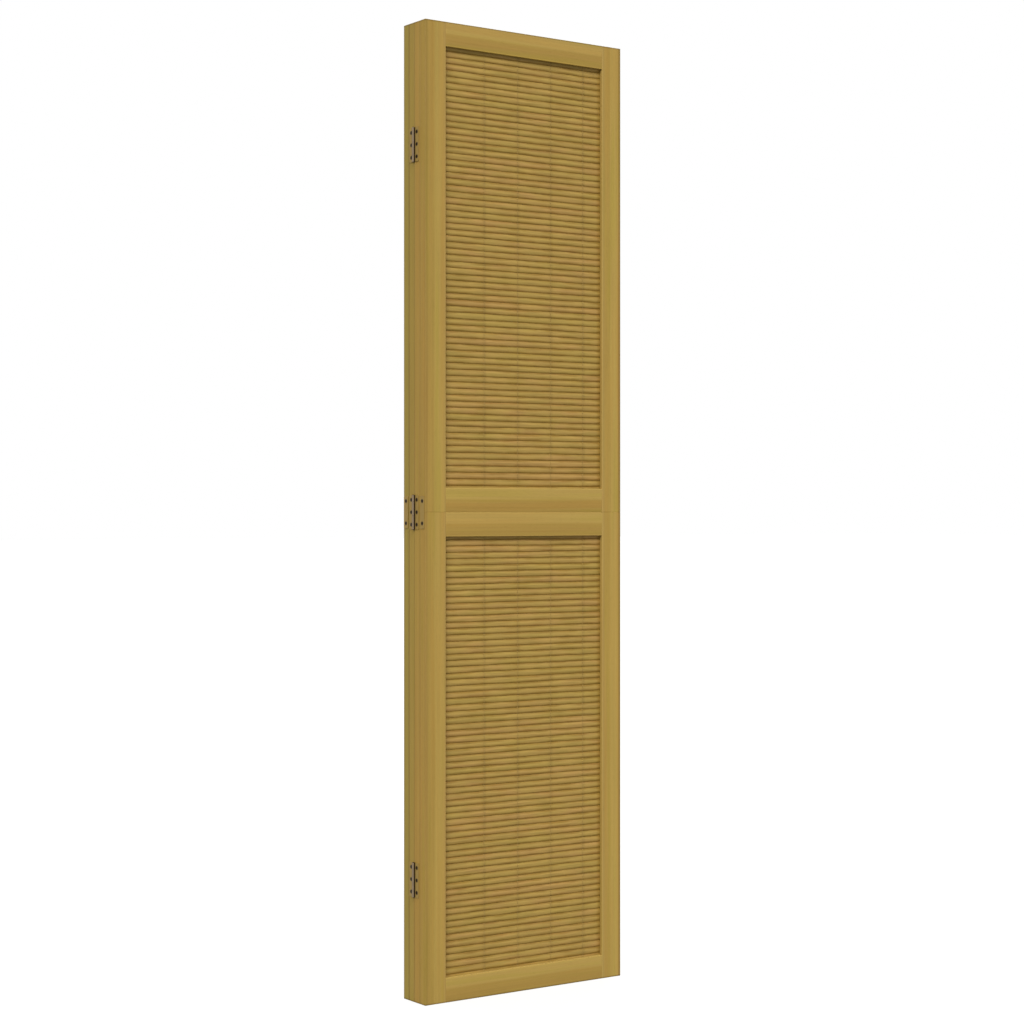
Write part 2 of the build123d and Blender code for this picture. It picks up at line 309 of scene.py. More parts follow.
def board_arrises(tree, at, upright):
    """How light a board's edges are, as a factor.

    The arrises round the openings are rubbed thin and lit by a painted highlight, a faint painted shade on
    the left stile's. Painted shade lies on the leaf's outer arrises and on the stiles' tips. It is heavier on
    the right and the back of the screen than on its left front corner.
    """
    if upright:
        strength = add(tree, "ShaderNodeMapRange", {0: at["side"], 1: -1.0, 2: 1.0,
                                                    3: STILE_RUBBED_AND_LIT[0], 4: STILE_RUBBED_AND_LIT[1]}).outputs[0]
        # The painted shade on the outer arrises is heavier to the right and the back
        heavier_shade = add(tree, "ShaderNodeVectorMath", {0: at["object"],
                                                   1: (1 / LEAF_WIDTH, 1 / (LEAVES * LEAF_PITCH), 0)},
                    operation="DOT_PRODUCT").outputs["Value"]
        heavier_shade = add(tree, "ShaderNodeMapRange", {0: heavier_shade, 1: -0.6, 2: 0.0, 3: 0.3, 4: 1.0}).outputs[0]
        shade_from, shade_to = STILE_EDGE_SHADE_REACH
    else:
        strength = add(tree, "ShaderNodeMapRange", {0: at["across"], 1: -MEMBER_WIDTH / 4,
                                                    2: MEMBER_WIDTH / 4,
                                                    3: RAIL_RUBBED_AND_LIT[0], 4: RAIL_RUBBED_AND_LIT[1]}).outputs[0]
        heavier_shade = 1.0
        shade_from, shade_to = RAIL_EDGE_SHADE_REACH
    # How near the point is to one of the board's four long edges
    layer = add(tree, "ShaderNodeMath", {0: at["leaf"], 1: LEAF_PITCH, 2: LEAF_PITCH / 2},
                operation="MULTIPLY_ADD").outputs[0]
    depth = add(tree, "ShaderNodeMath", {0: at["y"], 1: layer}, operation="SUBTRACT").outputs[0]
    depth = add(tree, "ShaderNodeMath", {0: depth}, operation="ABSOLUTE").outputs[0]
    depth = add(tree, "ShaderNodeMath", {0: depth, 1: ARRIS_SQUEEZE}, operation="MULTIPLY").outputs[0]
    breadth = add(tree, "ShaderNodeMath", {0: at["across"]}, operation="ABSOLUTE").outputs[0]
    section = add(tree, "ShaderNodeCombineXYZ", {0: breadth, 1: depth}).outputs[0]
    corner = (MEMBER_WIDTH / 2, ARRIS_SQUEEZE * LEAF_THICK / 2, 0)
    gap = add(tree, "ShaderNodeVectorMath", {0: section, 1: corner}, operation="DISTANCE").outputs["Value"]
    near = add(tree, "ShaderNodeMapRange", {0: gap, 1: RUBBED_AND_LIT_REACH[0], 2: RUBBED_AND_LIT_REACH[1], 3: 1.0, 4: 0.0},
               interpolation_type="SMOOTHSTEP").outputs[0]
    # Rubbed arrises round the openings, lightened by a painted highlight, which is a faint painted shade on
    # the left stile
    inner = add(tree, "ShaderNodeMapRange", {0: at["outward"], 1: -MEMBER_WIDTH / 3, 2: 0.0,
                                             3: 1.0, 4: 0.0}).outputs[0]
    inner = add(tree, "ShaderNodeMath", {0: inner, 1: strength}, operation="MULTIPLY").outputs[0]
    light = add(tree, "ShaderNodeMath", {0: near, 1: inner, 2: 1.0}, operation="MULTIPLY_ADD").outputs[0]
    # Painted shade on the leaf's outer arrises
    near = add(tree, "ShaderNodeMapRange", {0: gap, 1: shade_from, 2: shade_to, 3: ARRIS_PAINTED_SHADE, 4: 0.0},
               interpolation_type="SMOOTHSTEP").outputs[0]
    outer = add(tree, "ShaderNodeMapRange", {0: at["outward"], 1: 0.0, 2: MEMBER_WIDTH / 3,
                                             3: 0.0, 4: heavier_shade}).outputs[0]
    stained = add(tree, "ShaderNodeMath", {0: near, 1: outer, 2: 1.0}, operation="MULTIPLY_ADD").outputs[0]
    light = add(tree, "ShaderNodeMath", {0: light, 1: stained}, operation="MULTIPLY").outputs[0]
    # Painted shade on the stiles' tips
    if upright:
        tip_shade = add(tree, "ShaderNodeMapRange", {0: at["height"], 1: MID_HEIGHT - TIP_SHADE_REACH[1],
                                               2: MID_HEIGHT - TIP_SHADE_REACH[0],
                                               3: 1.0, 4: 1.0 + ARRIS_PAINTED_SHADE}).outputs[0]
        light = add(tree, "ShaderNodeMath", {0: light, 1: tip_shade}, operation="MULTIPLY").outputs[0]
    return light


def aged_stile(tree, at, stain, facing):
    """The stiles' stain, warmer on their thin sides, and a darker olive on the back leaves' ones.

    facing is 1 on the thin sides. The lacquer is greyer along the openings.
    """
    stain = add(tree, "ShaderNodeMix", {"Factor": facing, 6: stain, 7: linear(THIN_SIDE_TINT)},
                data_type="RGBA", blend_type="MULTIPLY").outputs[2]
    aged = add(tree, "ShaderNodeMapRange", {0: at["leaf"], 1: -1.0, 2: 1.0, 4: facing}).outputs[0]
    stain = add(tree, "ShaderNodeMix", {"Factor": aged, 6: stain, 7: linear(AGED_STAIN)},
                data_type="RGBA").outputs[2]
    greyed = add(tree, "ShaderNodeMapRange", {0: at["outward"], 1: GREYED_REACH[0] - MEMBER_WIDTH / 2,
                                              2: GREYED_REACH[1] - MEMBER_WIDTH / 2, 3: GREYED, 4: 0.0},
                 interpolation_type="SMOOTHSTEP").outputs[0]
    return add(tree, "ShaderNodeMix", {"Factor": greyed, 6: stain, 7: linear(GREYED_STAIN)},
               data_type="RGBA").outputs[2]


def board_wood(name, upright):
    """Paulownia boards, planed, stained honey brown and lacquered satin.

    The stiles' grain runs along Z and the rails' along X. The lacquer is a little glossier where
    the streaks are light, and the pores and streaks are slightly sunken.
    """
    made, tree, shader = new_material(name)
    place = add(tree, "ShaderNodeTexCoord")
    at = board_place(tree, place, upright)
    stain, light, streaks, pores = board_grain(tree, at, upright)
    arrises = board_arrises(tree, at, upright)
    light = add(tree, "ShaderNodeMath", {0: light, 1: arrises}, operation="MULTIPLY").outputs[0]
    # How squarely the surface faces to the sides and along the board
    normal = add(tree, "ShaderNodeVectorMath", {0: place.outputs["Normal"]}, operation="ABSOLUTE").outputs[0]
    facing_x, _, facing_z = add(tree, "ShaderNodeSeparateXYZ", {0: normal}).outputs
    # End grain drinks more stain, so it is darker
    end = add(tree, "ShaderNodeMapRange", {0: facing_z if upright else facing_x, 1: 0.8, 2: 0.95,
                                           3: 1.0, 4: END_GRAIN_LIGHT}).outputs[0]
    light = add(tree, "ShaderNodeMath", {0: light, 1: end}, operation="MULTIPLY").outputs[0]
    if upright:
        facing = add(tree, "ShaderNodeMapRange", {0: facing_x, 1: 0.8, 2: 0.95}).outputs[0]
        stain = aged_stile(tree, at, stain, facing)
    colour = add(tree, "ShaderNodeVectorMath", {0: stain, "Scale": light}, operation="SCALE").outputs[0]
    tree.links.new(colour, shader.inputs["Base Color"])
    rough = add(tree, "ShaderNodeMapRange", {0: streaks, 1: 0.95, 2: 1.04, 3: 0.62, 4: 0.52}).outputs[0]
    tree.links.new(rough, shader.inputs["Roughness"])
    relief = add(tree, "ShaderNodeMath", {0: pores, 1: streaks}, operation="MULTIPLY").outputs[0]
    bump = add(tree, "ShaderNodeBump", {"Height": relief, "Strength": 0.35, "Distance": 0.4 * MM}).outputs[0]
    tree.links.new(bump, shader.inputs["Normal"])
    shader.inputs["IOR"].default_value = 1.45
    shader.inputs["Specular IOR Level"].default_value = 0.2
    return made


def thread_dip_shade(tree, x):
    """1 in the painted shade of the dip at each thread: it rises from the left and stops short on the right.
    """
    shade_band = 0.0
    for column in THREAD_COLUMNS:
        off = add(tree, "ShaderNodeMath", {0: x, 1: column}, operation="SUBTRACT").outputs[0]
        left = add(tree, "ShaderNodeMapRange", {0: off, 1: DIP_SHADE_RISE[0], 2: DIP_SHADE_RISE[1]},
                   interpolation_type="SMOOTHSTEP").outputs[0]
        right = add(tree, "ShaderNodeMapRange", {0: off, 1: DIP_SHADE_END[0], 2: DIP_SHADE_END[1],
                                                 3: 1.0, 4: 0.0}).outputs[0]
        one = add(tree, "ShaderNodeMath", {0: left, 1: right}, operation="MULTIPLY").outputs[0]
        shade_band = add(tree, "ShaderNodeMath", {0: shade_band, 1: one}, operation="MAXIMUM").outputs[0]
    return shade_band


def split_bamboo(name):
    """Split bamboo slats with the skin on, stained to the frame's colour.

    The attribute slat holds a tone for each slat, the height on its face from -1 to 1 and a seed.
    The fibres are fine lines along the slat. Painted shade, with some stain, darkens the slat's rims by the
    grooves between slats; painted shade also darkens the dips where the threads press on it, and where the
    mat meets the stiles and the lower rail.
    """
    made, tree, shader = new_material(name)
    place = add(tree, "ShaderNodeTexCoord").outputs["Object"]
    x, _, z = add(tree, "ShaderNodeSeparateXYZ", {0: place}).outputs
    own = add(tree, "ShaderNodeAttribute", attribute_name="slat").outputs["Vector"]
    tone, height, seed = add(tree, "ShaderNodeSeparateXYZ", {0: own}).outputs
    # Fibres: long along X, different on each slat
    seeded = add(tree, "ShaderNodeCombineXYZ", {0: seed, 1: seed, 2: seed}).outputs[0]
    seeded = add(tree, "ShaderNodeVectorMath", {0: seeded, "Scale": FIBRES_APART},
                 operation="SCALE").outputs[0]

    def fibre(width, length, detail):
        """Noise whose marks are about width across the slat and length along it."""
        sized = add(tree, "ShaderNodeVectorMath", {0: place, 1: (1 / length, 1 / width, 1 / width)},
                    operation="MULTIPLY")
        moved = add(tree, "ShaderNodeVectorMath", {0: sized.outputs[0], 1: seeded}, operation="ADD")
        return add(tree, "ShaderNodeTexNoise", {"Vector": moved.outputs[0], "Scale": 1.0,
                                                "Detail": detail}).outputs["Fac"]

    # Hue: olive, tan or pinkish patches, some 70 mm long
    hue = add(tree, "ShaderNodeMath", {0: tone, 1: 0.5, 2: fibre(14 * MM, 70 * MM, 1)},
              operation="MULTIPLY_ADD").outputs[0]
    stain = add(tree, "ShaderNodeValToRGB", {0: hue}, stops=BAMBOO_STAIN).outputs["Color"]
    patch = add(tree, "ShaderNodeMapRange", {0: fibre(9 * MM, 50 * MM, 2), 1: 0.3, 2: 0.7,
                                             3: 0.94, 4: 1.07}).outputs[0]
    lines = add(tree, "ShaderNodeMapRange", {0: fibre(1.8 * MM, 60 * MM, 2), 1: 0.3, 2: 0.7,
                                             3: 0.88, 4: 1.13}).outputs[0]
    # Painted shade of the dips where the threads press the slats, unevenly dark along the slat
    uneven_dip_shade = add(tree, "ShaderNodeMapRange", {0: fibre(20 * MM, 160 * MM, 0), 1: 0.35, 2: 0.65,
                                              3: -0.02, 4: -0.10}).outputs[0]
    dip_shaded = add(tree, "ShaderNodeMath", {0: thread_dip_shade(tree, x), 1: uneven_dip_shade, 2: 1.0},
                  operation="MULTIPLY_ADD").outputs[0]
    # Painted shade in the grooves between slats, with some stain, on the rims, unevenly along the slat
    rim = add(tree, "ShaderNodeMath", {0: height}, operation="ABSOLUTE").outputs[0]
    wander = add(tree, "ShaderNodeMapRange", {0: fibre(30 * MM, 40 * MM, 2), 1: 0.3, 2: 0.7,
                                              3: -0.2, 4: 0.2}).outputs[0]
    rim = add(tree, "ShaderNodeMath", {0: rim, 1: wander}, operation="ADD").outputs[0]
    rim = add(tree, "ShaderNodeMapRange", {0: rim, 1: 0.25, 2: 1.0},
              interpolation_type="SMOOTHSTEP").outputs[0]
    # Painted shade along the frame, on the slats at both stiles and just above the lower rail
    sideways = add(tree, "ShaderNodeMath", {0: x}, operation="ABSOLUTE").outputs[0]
    sideways = add(tree, "ShaderNodeMapRange", {0: sideways, 1: OPENING_REACH - SIDE_PAINTED_SHADE_REACH,
                                                2: OPENING_REACH, 4: SIDE_PAINTED_SHADE},
                   interpolation_type="SMOOTHSTEP").outputs[0]
    rise = add(tree, "ShaderNodeMath", {0: z, 1: MID_HEIGHT}, operation="MODULO").outputs[0]
    low = add(tree, "ShaderNodeMapRange", {0: rise, 1: MEMBER_WIDTH + LOW_PAINTED_SHADE_REACH, 2: MEMBER_WIDTH,
                                           4: LOW_PAINTED_SHADE}).outputs[0]
    painted_shade = add(tree, "ShaderNodeMath", {0: sideways, 1: low}, operation="MAXIMUM").outputs[0]
    # Painted shade at the frame and on the rims, with some stain on the rims, tints the slats' stain
    shade_and_stain = add(tree, "ShaderNodeMath", {0: painted_shade, 1: rim}, operation="ADD", use_clamp=True).outputs[0]
    shade_and_stain = add(tree, "ShaderNodeValToRGB", {0: shade_and_stain}, stops=SHADE_AND_STAIN_TINT).outputs["Color"]
    stain = add(tree, "ShaderNodeMix", {"Factor": 1.0, 6: stain, 7: shade_and_stain}, data_type="RGBA",
                blend_type="MULTIPLY").outputs[2]
    light = add(tree, "ShaderNodeMath", {0: lines, 1: dip_shaded}, operation="MULTIPLY").outputs[0]
    light = add(tree, "ShaderNodeMath", {0: light, 1: patch}, operation="MULTIPLY").outputs[0]
    colour = add(tree, "ShaderNodeVectorMath", {0: stain, "Scale": light}, operation="SCALE").outputs[0]
    tree.links.new(colour, shader.inputs["Base Color"])
    rough = add(tree, "ShaderNodeMapRange", {0: lines, 1: 0.88, 2: 1.13, 3: 0.65, 4: 0.5}).outputs[0]
    tree.links.new(rough, shader.inputs["Roughness"])
    bump = add(tree, "ShaderNodeBump", {"Height": lines, "Strength": 0.5, "Distance": 0.5 * MM}).outputs[0]
    tree.links.new(bump, shader.inputs["Normal"])
    shader.inputs["Specular IOR Level"].default_value = 0.2
    return made


def waxed_thread(name):
    """Two-ply waxed cotton, stained with the mat: its plies are 1.6 mm apart along the thread."""
    made, tree, shader = new_material(name)
    place = add(tree, "ShaderNodeTexCoord").outputs["Object"]
    x, _, z = add(tree, "ShaderNodeSeparateXYZ", {0: place}).outputs
    lean = add(tree, "ShaderNodeMath", {0: x, 1: z}, operation="ADD").outputs[0]
    ply = add(tree, "ShaderNodeMath", {0: lean, 1: 2 * math.pi / (1.6 * MM)}, operation="MULTIPLY").outputs[0]
    ply = add(tree, "ShaderNodeMath", {0: ply}, operation="SINE").outputs[0]
    shade = add(tree, "ShaderNodeMapRange", {0: ply, 1: -1.0, 2: 1.0}).outputs[0]
    colour = add(tree, "ShaderNodeValToRGB", {0: shade}, stops=[(0.0, "#9a7e44"), (1.0, "#ac9054")])
    tree.links.new(colour.outputs["Color"], shader.inputs["Base Color"])
    bump = add(tree, "ShaderNodeBump", {"Height": shade, "Strength": 0.6, "Distance": 0.2 * MM}).outputs[0]
    tree.links.new(bump, shader.inputs["Normal"])
    shader.inputs["Roughness"].default_value = 0.8
    shader.inputs["Specular IOR Level"].default_value = 0.2
    return made


def hinge_place(tree, x, y):
    """A point's places near a hinge line: out from the leaf's edge, off along the edge, and the radius.

    The hinge lines on the left are at y = 0, and those on the right one leaf pitch before and behind.
    """
    out = add(tree, "ShaderNodeMath", {0: x}, operation="ABSOLUTE").outputs[0]
    out = add(tree, "ShaderNodeMath", {0: out, 1: LEAF_WIDTH / 2 + AXIS_STANDOFF},
              operation="SUBTRACT").outputs[0]
    line = add(tree, "ShaderNodeMath", {0: x, 1: 0.0}, operation="GREATER_THAN").outputs[0]
    line = add(tree, "ShaderNodeMath", {0: line, 1: LEAF_PITCH}, operation="MULTIPLY").outputs[0]
    off = add(tree, "ShaderNodeMath", {0: y}, operation="ABSOLUTE").outputs[0]
    off = add(tree, "ShaderNodeMath", {0: off, 1: line}, operation="SUBTRACT").outputs[0]
    place = add(tree, "ShaderNodeCombineXYZ", {0: out, 1: off}).outputs[0]
    radius = add(tree, "ShaderNodeVectorMath", {0: place}, operation="LENGTH").outputs["Value"]
    return out, off, radius


def screw_rings(tree, y, z, off):
    """1 in a ring round each screw head. All the heads lie on the leaves' middle planes."""
    sideways = add(tree, "ShaderNodeMath", {0: y, 1: LEAF_PITCH}, operation="DIVIDE").outputs[0]
    sideways = add(tree, "ShaderNodeMath", {0: sideways}, operation="FRACT").outputs[0]
    sideways = add(tree, "ShaderNodeMath", {0: sideways, 1: LEAF_PITCH, 2: -LEAF_PITCH / 2},
                   operation="MULTIPLY_ADD").outputs[0]
    # Height from the middle of the nearest hinge, then from its nearest screw or a mending plate's one
    rise = add(tree, "ShaderNodeMath", {0: z, 1: MID_HEIGHT + HINGE_STEP / 2, 2: MID_HEIGHT - HINGE_STEP / 2},
               operation="WRAP").outputs[0]
    rise = add(tree, "ShaderNodeMath", {0: rise, 1: MID_HEIGHT}, operation="SUBTRACT").outputs[0]
    hinge_screw = add(tree, "ShaderNodeMath", {0: rise, 1: HINGE_SCREW_STEP / 2, 2: -HINGE_SCREW_STEP / 2},
                      operation="WRAP").outputs[0]
    mend_screw = add(tree, "ShaderNodeMath", {0: rise}, operation="ABSOLUTE").outputs[0]
    mend_screw = add(tree, "ShaderNodeMath", {0: mend_screw, 1: MEND_SCREW_REACH},
                     operation="SUBTRACT").outputs[0]
    mending = add(tree, "ShaderNodeMath", {0: off, 1: LEAF_PITCH}, operation="GREATER_THAN").outputs[0]
    upward = add(tree, "ShaderNodeMix", {0: mending, 2: hinge_screw, 3: mend_screw}).outputs[0]
    ring = add(tree, "ShaderNodeCombineXYZ", {0: sideways, 1: upward}).outputs[0]
    ring = add(tree, "ShaderNodeVectorMath", {0: ring}, operation="LENGTH").outputs["Value"]
    return add(tree, "ShaderNodeMapRange", {0: ring, 1: SCREW_RING_REACH[0], 2: SCREW_RING_REACH[1],
                                            3: 1.0, 4: 0.0}).outputs[0]


def lacquered_steel(name):
    """Rolled steel hinge leaves in a bronze lacquer, satin and finely brushed along their length.

    The lacquer is rubbed off the knuckles to bare steel. Painted shade lies in the crease at their roots, and
    a dark ring round the screw heads. The knuckles and their roots follow the distance from the nearest hinge
    line.
    """
    made, tree, shader = new_material(name)
    place = add(tree, "ShaderNodeTexCoord").outputs["Object"]
    brushed = add(tree, "ShaderNodeVectorMath", {0: place, 1: (1 / MM, 1 / (0.25 * MM), 1 / (9 * MM))},
                  operation="MULTIPLY").outputs[0]
    scratch = add(tree, "ShaderNodeTexNoise", {"Vector": brushed, "Scale": 1.0, "Detail": 3.0}).outputs["Fac"]
    lacquer = add(tree, "ShaderNodeValToRGB", {0: scratch},
                  stops=[(0.3, "#8d733a"), (0.7, "#9b8042")]).outputs["Color"]
    steel = add(tree, "ShaderNodeValToRGB", {0: scratch},
                stops=[(0.3, "#74644e"), (0.7, "#86755d")]).outputs["Color"]
    x, y, z = add(tree, "ShaderNodeSeparateXYZ", {0: place}).outputs
    out, off, radius = hinge_place(tree, x, y)
    knuckle = add(tree, "ShaderNodeMapRange", {0: radius, 1: WORN_KNUCKLE[0], 2: WORN_KNUCKLE[1],
                                               3: 1.0, 4: 0.0}).outputs[0]
    root_shade = add(tree, "ShaderNodeMapRange", {0: radius, 1: ROOT_SHADE[0], 2: ROOT_SHADE[1], 3: 1.0, 4: 0.0},
               interpolation_type="SMOOTHSTEP").outputs[0]
    under = add(tree, "ShaderNodeMapRange", {0: out, 1: OUTER_SHADE_EDGE[0], 2: OUTER_SHADE_EDGE[1],
                                             3: 1.0, 4: 0.0}).outputs[0]
    # Painted shade in the crease beside the knuckles, and a dark ring round each screw head
    shade_and_ring = add(tree, "ShaderNodeMath", {0: root_shade, 1: under}, operation="MULTIPLY").outputs[0]
    shade_and_ring = add(tree, "ShaderNodeMath", {0: shade_and_ring, 1: screw_rings(tree, y, z, off)},
               operation="MAXIMUM").outputs[0]
    metal = add(tree, "ShaderNodeMix", {"Factor": knuckle, 6: lacquer, 7: steel}, data_type="RGBA").outputs[2]
    colour = add(tree, "ShaderNodeMix", {"Factor": shade_and_ring, 6: metal, 7: linear(SHADE_AND_RING_DARK)},
                 data_type="RGBA").outputs[2]
    tree.links.new(colour, shader.inputs["Base Color"])
    shine = add(tree, "ShaderNodeMapRange", {0: shade_and_ring, 3: 0.3, 4: 0.0}).outputs[0]
    tree.links.new(shine, shader.inputs["Metallic"])
    rough = add(tree, "ShaderNodeMapRange", {0: scratch, 1: 0.3, 2: 0.7, 3: 0.6, 4: 0.48}).outputs[0]
    tree.links.new(rough, shader.inputs["Roughness"])
    shader.inputs["Specular IOR Level"].default_value = 0.2
    return made


def blackened_steel(name):
    """Screws and pins of oil-blackened steel, with a little brown worn through."""
    made, tree, shader = new_material(name)
    place = add(tree, "ShaderNodeTexCoord").outputs["Object"]
    sized = add(tree, "ShaderNodeVectorMath", {0: place, "Scale": 1 / (0.8 * MM)}, operation="SCALE")
    worn = add(tree, "ShaderNodeTexNoise", {"Vector": sized.outputs[0], "Scale": 1.0, "Detail": 4.0})
    colour = add(tree, "ShaderNodeValToRGB", {0: worn.outputs["Fac"]},
                 stops=[(0.4, "#160d01"), (0.75, "#281a04")])
    tree.links.new(colour.outputs["Color"], shader.inputs["Base Color"])
    shader.inputs["Roughness"].default_value = 0.55
    shader.inputs["Specular IOR Level"].default_value = 0.1
    return made


def ramin_dowel(name):
    """Hardwood dowel rod, unstained: pale, with fine straight grain."""
    made, tree, shader = new_material(name)
    place = add(tree, "ShaderNodeTexCoord").outputs["Object"]
    sized = add(tree, "ShaderNodeVectorMath", {0: place, 1: (1 / MM, 1 / MM, 1 / (20 * MM))},
                operation="MULTIPLY")
    grain = add(tree, "ShaderNodeTexNoise", {"Vector": sized.outputs[0], "Scale": 1.0, "Detail": 3.0})
    colour = add(tree, "ShaderNodeValToRGB", {0: grain.outputs["Fac"]},
                 stops=[(0.3, "#c9ab7a"), (0.7, "#d9c093")])
    tree.links.new(colour.outputs["Color"], shader.inputs["Base Color"])
    shader.inputs["Roughness"].default_value = 0.7
    return made


def mesh_object(name, points, faces, smooth=True):
    """A mesh object at the origin. The edges of its caps, which have more than four corners, are sharp."""
    mesh = bpy.data.meshes.new(name)
    mesh.from_pydata(points.tolist(), [], faces)
    mesh.polygons.foreach_set("use_smooth", [smooth] * len(faces))
    rims = {frozenset(pair) for face in faces if len(face) > 4 for pair in zip(face, face[1:] + face[:1])}
    mesh.edges.foreach_set("use_edge_sharp", [frozenset(edge.vertices) in rims for edge in mesh.edges])
    mesh.update()
    made = bpy.data.objects.new(name, mesh)
    bpy.context.scene.collection.objects.link(made)
    return made


def tube_quads(rings, sides, first=0):
    """Quads of a closed tube of rings x sides points, numbered ring by ring."""
    ring = np.arange(rings - 1)[:, None]
    side = np.arange(sides)[None, :]
    near = first + ring * sides + side
    turn = first + ring * sides + (side + 1) % sides
    return np.stack([near, turn, turn + sides, near + sides], axis=-1).reshape(-1, 4)


def gap_lines(floor, mat_low, mat_high):
    """Heights of the mat's gap lines, from its lowest edge to its highest, SLATS + 1 in all."""
    wide = floor + FIRST_LINE + WIDE_PITCH * np.arange(WIDE_SLATS + 1)
    even = np.linspace(wide[-1], floor + LAST_LINE, SLATS - WIDE_SLATS - 1)[1:]
    return np.concatenate([[mat_low], wide, even, [mat_high]])


def slat_mat(leaf, half):
    """The slats of one half leaf, one between each pair of neighbouring gap lines.

    A gap line is level, but for a small random rise or fall at each thread and at its ends. On a
    section the height h runs from -1 to 1 up the slat, and the thickness is the rim's plus a
    parabola: edge + (crest - edge) (1 - h^2). The section is a closed loop, up the front and down
    the back.
    """
    rng = np.random.default_rng(SEED + 10 * leaf + (half == "upper"))
    low_corner, high_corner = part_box(f"leaf_{leaf + 1}_{half}_slats")
    level = gap_lines(HALVES[half], low_corner[2], high_corner[2])
    x = np.array([-SLAT_LENGTH / 2] + THREAD_COLUMNS + [SLAT_LENGTH / 2])
    sections = len(x)
    wave = rng.uniform(-LINE_WAVE, LINE_WAVE, (SLATS + 1, sections))
    # The mat's lowest and highest edges stay level, in the rails' grooves
    wave[[0, -1]] = 0
    lines = level[:, None] + wave
    low = lines[:-1] + SLAT_GAP / 2
    high = lines[1:] - SLAT_GAP / 2
    # The section's corners: their heights up the rounder front and down the back
    front = np.array([-1, -0.9, -0.5, 0, 0.5, 0.9, 1])
    back = np.array([1, 0.45, -0.45, -1])
    loop_h = np.concatenate([front, back])
    loop_side = np.concatenate([-np.ones(len(front)), np.ones(len(back))])
    thick = THINNEST_SLAT + (1 - THINNEST_SLAT) * rng.random((SLATS, 1, 1))
    shape = (SLAT_EDGE + (SLAT_CREST - SLAT_EDGE) * (1 - loop_h ** 2)) / 2
    sides = len(loop_h)
    grid = np.zeros((SLATS, sections, sides, 3))
    grid[..., 0] = x[None, :, None]
    grid[..., 1] = leaf_y(leaf) + loop_side * shape * thick
    grid[..., 2] = (high + low)[:, :, None] / 2 + loop_h * (high - low)[:, :, None] / 2
    tubes = np.concatenate([tube_quads(sections, sides, k * sections * sides) for k in range(SLATS)])
    faces = tubes.tolist()
    for k in range(SLATS):
        first = k * sections * sides
        last = first + (sections - 1) * sides
        faces.append(list(range(first, first + sides)))
        faces.append(list(range(last, last + sides))[::-1])
    made = mesh_object(f"leaf_{leaf + 1}_{half}_mat", grid.reshape(-1, 3), faces)
    marks = np.zeros((SLATS, sections, sides, 3))
    marks[..., 0] = rng.normal(0, TONE_SPREAD, (SLATS, 1, 1))
    marks[..., 1] = loop_h
    marks[..., 2] = rng.random((SLATS, 1, 1))
    attribute = made.data.attributes.new("slat", "FLOAT_VECTOR", "POINT")
    attribute.data.foreach_set("vector", marks.reshape(-1).astype(np.float32))
    return made


def thread_warps(leaf):
    """The tying threads of one leaf. Two strands in each column weave past each other.

    A strand's distance from the mat's middle plane is its reach times tanh(4 cos a), where a turns
    half a circle from one slat's middle to the next, so it lies flat over a slat and dives through
    the next gap. The two strands are half a turn apart and stand side by side in the gaps.
    """
    turn = np.arange(STRAND_SIDES) * 2 * math.pi / STRAND_SIDES
    points, faces, first = [], [], 0
    for half, floor in HALVES.items():
        low_corner, high_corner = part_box(f"leaf_{leaf + 1}_{half}_slats")
        level = gap_lines(floor, low_corner[2], high_corner[2])
        z = np.linspace(floor + MEMBER_WIDTH, floor + MID_HEIGHT - MEMBER_WIDTH, SLATS * STRAND_STEPS)
        angle = math.pi * (np.interp(z, level, np.arange(SLATS + 1)) - 0.5)
        for column in THREAD_COLUMNS:
            for side in (-1, 1):
                y = side * STRAND_REACH * np.tanh(STRAND_DIVE * np.cos(angle))
                x = column + side * (STRAND_OFF + STRAND_ASIDE * np.sin(angle) ** 2)
                path = np.stack([x, leaf_y(leaf) + y, z], axis=1)
                along = np.gradient(path, axis=0)
                along /= np.linalg.norm(along, axis=1, keepdims=True)
                right = np.broadcast_to([1.0, 0.0, 0.0], along.shape)
                out = np.cross(along, right)
                out /= np.linalg.norm(out, axis=1, keepdims=True)
                right = np.cross(out, along)
                tube = (path[:, None] + THREAD_RADIUS * (np.cos(turn)[None, :, None] * right[:, None]
                                                        + np.sin(turn)[None, :, None] * out[:, None]))
                points.append(tube.reshape(-1, 3))
                faces += tube_quads(len(z), STRAND_SIDES, first)[:, ::-1].tolist()
                last = first + (len(z) - 1) * STRAND_SIDES
                faces.append(list(range(first, first + STRAND_SIDES)))
                faces.append(list(range(last, last + STRAND_SIDES))[::-1])
                first = last + STRAND_SIDES
    return mesh_object(f"leaf_{leaf + 1}_warps", np.concatenate(points), faces)


def outward_faces(piece):
    """Turns every face of a closed mesh outwards."""
    shell = bmesh.new()
    shell.from_mesh(piece.data)
    bmesh.ops.recalc_face_normals(shell, faces=shell.faces)
    shell.to_mesh(piece.data)
    shell.free()


def finish_with(piece, material):
    """Gives a whole piece one material."""
    piece.data.materials.clear()
    piece.data.materials.append(material)


def photograph_camera():
    """The camera where the photograph was taken."""
    camera = bpy.data.objects.new("camera", bpy.data.cameras.new("camera"))
    camera.location = CAMERA_PLACE
    camera.rotation_euler = (math.pi / 2, 0, CAMERA_TURN)
    camera.data.lens = CAMERA_LENS
    camera.data.sensor_width = CAMERA_SENSOR
    camera.data.clip_end = 100.0
    bpy.context.scene.collection.objects.link(camera)
    bpy.context.scene.camera = camera


